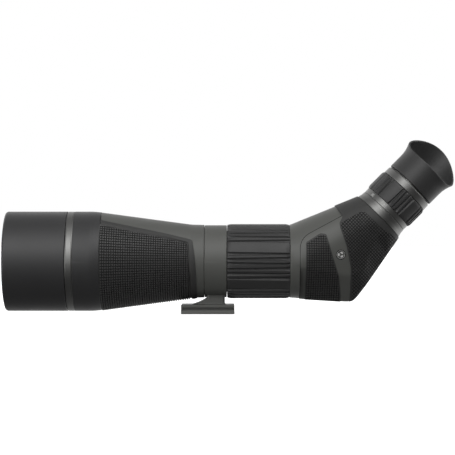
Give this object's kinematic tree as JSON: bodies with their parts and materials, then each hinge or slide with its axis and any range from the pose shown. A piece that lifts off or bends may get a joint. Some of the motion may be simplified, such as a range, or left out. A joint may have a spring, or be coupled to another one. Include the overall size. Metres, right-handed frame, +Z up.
{
  "type": "spotting scope",
  "caption": "Angled spotting scope with a sliding sunshade, rotating tripod collar and dovetail foot, ribbed focus ring, zoom eyepiece and winged twist-up eyecup.",
  "frame": {"origin": "centre of the tripod thread's mouth, in the plane of the foot's base", "axes": "-X the way the objective looks, +Z up from the foot's base, +Y the side of the lock knob"},
  "size_m": [0.4482, 0.1087, 0.1736],
  "materials": {
    "shell_grey": "satin warm grey paint on a light casting",
    "shade_black": "satin black paint",
    "armour_rubber": "moulded grain, matt",
    "grip_rubber": "ribbed, matt",
    "trim_metal": "fine turned, clear anodised",
    "black_anodised": "black anodised",
    "black_plastic": "matt",
    "nylon": "natural nylon",
    "steel": "turned",
    "brass": "turned",
    "glass": "polished, coated"
  },
  "bodies": {
    "mount": {"mount_collar": "shell_grey", "collar_liner": "nylon", "tripod_insert": "steel"},
    "lock_pad": {"lock_shoe": "brass"},
    "lock_handle": {"lock_knob": "black_plastic", "lock_stud": "steel"},
    "shade": {"sunshade": "shade_black"},
    "focus_ring": {"focus_cam_ring": "black_anodised", "focus_grip": "grip_rubber"},
    "focus_group": {"focus_carriage": "black_anodised", "focus_lens": "glass", "focus_lens_retainer": "black_anodised", "focus_pin": "steel"},
    "zoom_ring": {"zoom_cam_ring": "trim_metal", "zoom_grip": "grip_rubber"},
    "zoom_front_group": {"zoom_front_carriage": "black_anodised", "zoom_front_lens": "glass", "zoom_front_pin": "steel"},
    "zoom_rear_group": {"zoom_rear_carriage": "black_anodised", "zoom_rear_lens": "glass", "zoom_rear_pin": "steel"},
    "eyecup_glide": {"glide_ring": "nylon"},
    "eyecup": {"eyecup_core": "black_plastic", "eyecup_rubber": "grip_rubber"},
    "scope": {"barrel_shell": "shell_grey", "barrel_armour": "armour_rubber", "front_ring": "shade_black", "trim_ring": "trim_metal", "objective_barrel": "black_anodised", "shade_guide_ring": "nylon", "objective_front_lens": "glass", "objective_spacer": "black_anodised", "objective_rear_lens": "glass", "objective_retainer": "black_anodised", "objective_oring": "grip_rubber", "focus_sleeve": "black_anodised", "focus_orings": "grip_rubber", "prism_housing": "shell_grey", "side_armour": "armour_rubber", "rear_armour": "armour_rubber", "badge": "black_plastic", "prism_cage": "black_anodised", "roof_prism": "glass", "prism_clip": "steel", "cage_screws": "steel", "purge_screw": "steel", "eyepiece_base_ring": "trim_metal", "eyepiece_tube": "black_anodised", "eyepiece_oring": "grip_rubber", "field_stop": "black_anodised", "ocular_housing": "trim_metal", "eye_lens": "glass", "eye_lens_retainer": "black_anodised", "eyecup_pins": "steel"}
  },
  "joints": [
    {"name": "collar_turn", "type": "hinge", "parent": "mount", "child": "scope", "pos_m": [0.006, 0, 0.0522], "axis": [1, 0, 0], "continuous": true},
    {"name": "lock_advance", "type": "slide", "parent": "mount", "child": "lock_pad", "axis": [0, 1, 0], "range_m": [0, 0.001]},
    {"name": "lock_turn", "type": "hinge", "parent": "lock_pad", "child": "lock_handle", "pos_m": [0.006, 0.045, 0.0522], "axis": [0, 1, 0], "range_deg": [0, 360]},
    {"name": "shade_slide", "type": "slide", "parent": "scope", "child": "shade", "axis": [-1, 0, 0], "range_m": [0, 0.042]},
    {"name": "focus_turn", "type": "hinge", "parent": "scope", "child": "focus_ring", "pos_m": [0.048, 0, 0.0522], "axis": [1, 0, 0], "range_deg": [0, 540]},
    {"name": "focus_travel", "type": "slide", "parent": "scope", "child": "focus_group", "axis": [1, 0, 0], "range_m": [0, 0.015]},
    {"name": "zoom_turn", "type": "hinge", "parent": "scope", "child": "zoom_ring", "pos_m": [0.1842, 0, 0.1123], "axis": [0.7071, 0, 0.7071], "range_deg": [0, 150]},
    {"name": "zoom_front_travel", "type": "slide", "parent": "scope", "child": "zoom_front_group", "axis": [0.7071, 0, 0.7071], "range_m": [-0.008, 0]},
    {"name": "zoom_rear_travel", "type": "slide", "parent": "scope", "child": "zoom_rear_group", "axis": [0.7071, 0, 0.7071], "range_m": [-0.004, 0]},
    {"name": "eyecup_rise", "type": "slide", "parent": "scope", "child": "eyecup_glide", "axis": [0.7071, 0, 0.7071], "range_m": [0, 0.01]},
    {"name": "eyecup_twist", "type": "hinge", "parent": "eyecup_glide", "child": "eyecup", "pos_m": [0.20542, 0, 0.13352], "axis": [0.7071, 0, 0.7071], "range_deg": [0, 120]}
  ],
  "couplings": [
    {"joint": "lock_advance", "follows": "lock_turn", "m_per_rad": 0.00015915},
    {"joint": "focus_travel", "follows": "focus_turn", "m_per_rad": 0.0015915},
    {"joint": "zoom_front_travel", "follows": "zoom_turn", "m_per_rad": -0.0030557},
    {"joint": "zoom_rear_travel", "follows": "zoom_turn", "m_per_rad": -0.0015278},
    {"joint": "eyecup_rise", "follows": "eyecup_twist", "m_per_rad": 0.0047746}
  ]
}
